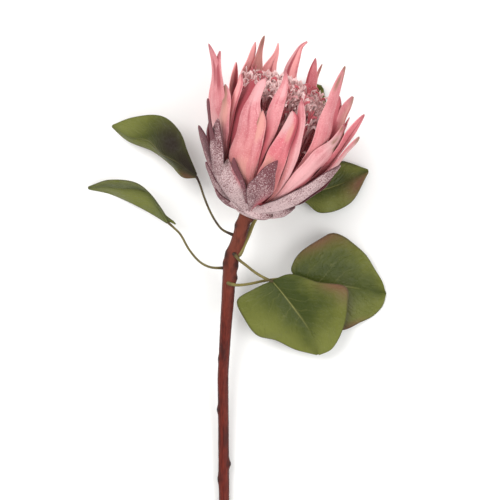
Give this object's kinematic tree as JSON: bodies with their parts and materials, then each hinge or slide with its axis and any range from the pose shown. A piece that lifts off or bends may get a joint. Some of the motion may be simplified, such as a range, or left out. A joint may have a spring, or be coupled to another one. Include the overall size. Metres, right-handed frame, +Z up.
{
  "type": "protea flower",
  "caption": "Cut protea flower lying on its side: goblet of pink bracts in a mauve cup, pale florets, woody stem and leathery leaves.",
  "frame": {"origin": "on the surface the flower lies on, under the middle of its box", "axes": "+Y along the stem towards the bloom, +X to the side of the two round leaves, +Z up from the surface"},
  "size_m": [0.2296, 0.376, 0.1071],
  "materials": {
    "bark": "smooth red-brown bark with knots and leaf scars",
    "leaf": "satin olive green with pale veins",
    "mauve_bract": "matt mauve with a pale flock",
    "pink_bract": "velvety dusty pink",
    "floret": "matt whitish pink flock"
  },
  "bodies": {
    "root": {"stem": "bark", "leaf_1": "leaf", "leaf_2": "leaf", "leaf_3": "leaf", "leaf_4": "leaf", "leaf_5": "leaf", "leaf_6": "leaf", "bracts_mauve": "mauve_bract", "bracts_pink": "pink_bract", "florets": "floret"}
  },
  "joints": []
}
